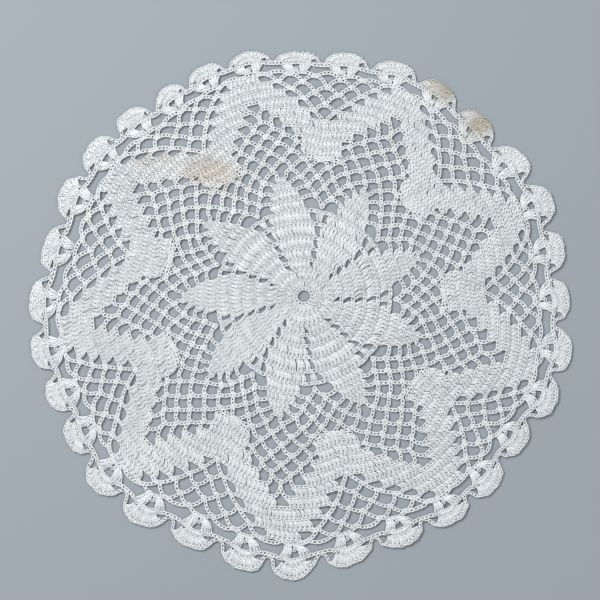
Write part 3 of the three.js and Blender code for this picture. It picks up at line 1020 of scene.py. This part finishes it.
# %% Old marks
TEA, DUST = (0.62, 0.51, 0.40, 1), (0.50, 0.45, 0.36, 1)
STAINS = [  # middle x and y, reach x and y, in millimetres, strength and colour
    (-50, 78, 24, 16, 0.55, TEA),
    (-78, 87, 18, 9, 0.35, TEA),
    (82, 127, 19, 13, 0.9, DUST),
    (100, 108, 15, 16, 0.9, DUST),
]
STAIN_ENDS, STAIN_FULL = 1.7, 0.85  # in reaches from its middle, with the noise added
RAGGED = 1.5  # how far the noise pushes a stain's edge


def stained(tree, place_at, colour):
    """Each stain is strong where its middle's distance, in reaches, plus a noise is small,
    and fades smoothly to nothing at its ragged edge."""
    ragged = math(tree, "MULTIPLY", noise(tree, place_at, scale=70.0, detail=3.0), RAGGED)
    for x, y, reach_x, reach_y, strength, stain in STAINS:
        middle = (x * MILLIMETRE, y * MILLIMETRE, 0)
        reach = (reach_x * MILLIMETRE, reach_y * MILLIMETRE, 1)
        values = {"Vector": place_at, "Location": middle, "Scale": reach}
        off = node(tree, "ShaderNodeMapping", vector_type="TEXTURE", **values).outputs[0]
        length = node(tree, "ShaderNodeVectorMath", operation="LENGTH", Vector=off)
        edge = math(tree, "ADD", length.outputs["Value"], ragged)
        fade = ranged(tree, edge, STAIN_ENDS, STAIN_FULL, strength, "SMOOTHSTEP")
        colour = blended(tree, fade, colour, stain)
    return colour


# %% The twist of the plies
PLIES = 3
TWIST = 0.75  # turns of the plies for each millimetre
FIBRE = 0.6  # how much the loose fibres add to the plies
PLY_DEPTH = 0.00012  # metres


def twisted(tree, place_at):
    """A bump of |sin| of half the angle 2 pi (plies times turns round, plus climb times
    millimetres along), with a fine noise for loose fibres."""
    uv = node(tree, "ShaderNodeUVMap", uv_map="yarn").outputs[0]
    apart = node(tree, "ShaderNodeSeparateXYZ", Vector=uv).outputs
    plies = math(tree, "MULTIPLY", apart["X"], PLIES)
    climb = math(tree, "MULTIPLY", apart["Y"], TWIST * PLIES / 2)
    turns = math(tree, "MULTIPLY", math(tree, "ADD", plies, climb), 2 * np.pi)
    strands = math(tree, "ABSOLUTE", math(tree, "SINE", math(tree, "MULTIPLY", turns, 0.5)))
    fuzz = math(tree, "MULTIPLY", noise(tree, place_at, scale=2600.0, detail=2.0), FIBRE)
    height = math(tree, "ADD", strands, fuzz)
    bump = node(tree, "ShaderNodeBump", Strength=1.0, Distance=PLY_DEPTH, Height=height)
    return bump.outputs[0]


# %% The cotton material
COTTON_FINISH = {
    "Roughness": 0.85, "Sheen Weight": 0.1, "Sheen Roughness": 0.45, "Specular IOR Level": 0.2,
}


def cotton():
    """Colour from tone, painted shade by depth and stains; bump from the twist; matt with a little
    sheen.
    """
    material = bpy.data.materials.new("cotton")
    material.use_nodes = True
    tree = material.node_tree
    place_at = node(tree, "ShaderNodeTexCoord").outputs["Object"]
    # the colour: random tone, then painted shade where the yarn lies deep, then the stains
    colour = stained(tree, place_at, painted_deep_shade(tree, uneven_white(tree, place_at)))
    surface = {"Base Color": colour, "Normal": twisted(tree, place_at)}
    feed(tree.nodes["Principled BSDF"], COTTON_FINISH | surface)
    return material


white_cotton = cotton()
for piece in pieces.values():
    piece.data.materials.append(white_cotton)
print("nodes in the cotton:", len(white_cotton.node_tree.nodes))

# %% [markdown]
# ## One cloth
#
# The pieces stand for the imported doily and move with it as one. A cloth simulation could
# drape it, but this one was washed, pressed and laid on a flat top, so its ripples are part
# of the yarn.


for name, piece in pieces.items():
    size = piece.dimensions
    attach(piece, "root")
    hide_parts("doily")

# %% [markdown]
# ## Floor, light and camera
#
# A plain pale floor a few shades darker than the cotton lets the white lace show. A doily is
# all small relief, so the light matters most: one wide soft lamp from the upper left models
# the stitches, and a weak one opposite fills the shadows. The camera looks straight down.

# %% The floor
FLOOR_GREY = (0.28, 0.308, 0.336, 1)
FLOOR_WIDE = 5  # metres
bpy.ops.mesh.primitive_plane_add(size=FLOOR_WIDE)
floor = bpy.context.object
floor.name = "floor"
paint = bpy.data.materials.new("floor_paint")
paint.use_nodes = True
feed(paint.node_tree.nodes["Principled BSDF"], {"Base Color": FLOOR_GREY, "Roughness": 0.8})
floor.data.materials.append(paint)
print("the floor is", FLOOR_WIDE, "m wide")

# %% Lamps and sky
LAMPS = [  # name, place, size, watts
    ("key", (-0.7, 0.65, 1.25), 0.7, 23),
    ("fill", (0.9, -0.5, 1.3), 0.9, 5),
]
SKY_BLUE, SKY_STRENGTH = (0.92, 0.96, 1.0, 1), 0.45
for name, at, size, watts in LAMPS:
    lamp = bpy.data.lights.new(name, "AREA")
    lamp.energy, lamp.size = watts, size
    holder = added(name, lamp)
    holder.location = at
    holder.rotation_euler = (-holder.location).to_track_quat("-Z", "Y").to_euler()

sky = bpy.data.worlds.new("sky")
sky.use_nodes = True
feed(sky.node_tree.nodes["Background"], {"Color": SKY_BLUE, "Strength": SKY_STRENGTH})
bpy.context.scene.world = sky
print("lamps:", [name for name, *rest in LAMPS])

# %% The camera, straight above
HEIGHT = 1.6
PICTURE = 600  # pixels
PIXEL = 0.5545 * MILLIMETRE  # what one pixel covers of the doily
RING_RIGHT, RING_UP = 4, 3  # pixels that the ring lies off the picture's middle
SENSOR = 36  # millimetres
ring_x, ring_y = shift[:2] * MILLIMETRE
lens = bpy.data.cameras.new("camera")
lens.sensor_width = SENSOR
lens.lens = SENSOR * HEIGHT / (PICTURE * PIXEL)
camera = added("camera", lens)
camera.location = (ring_x - RING_RIGHT * PIXEL, ring_y - RING_UP * PIXEL, HEIGHT)
bpy.context.scene.camera = camera
bpy.context.scene.view_settings.view_transform = "Standard"
print("the picture covers", round(PICTURE * PIXEL, 3), "m")
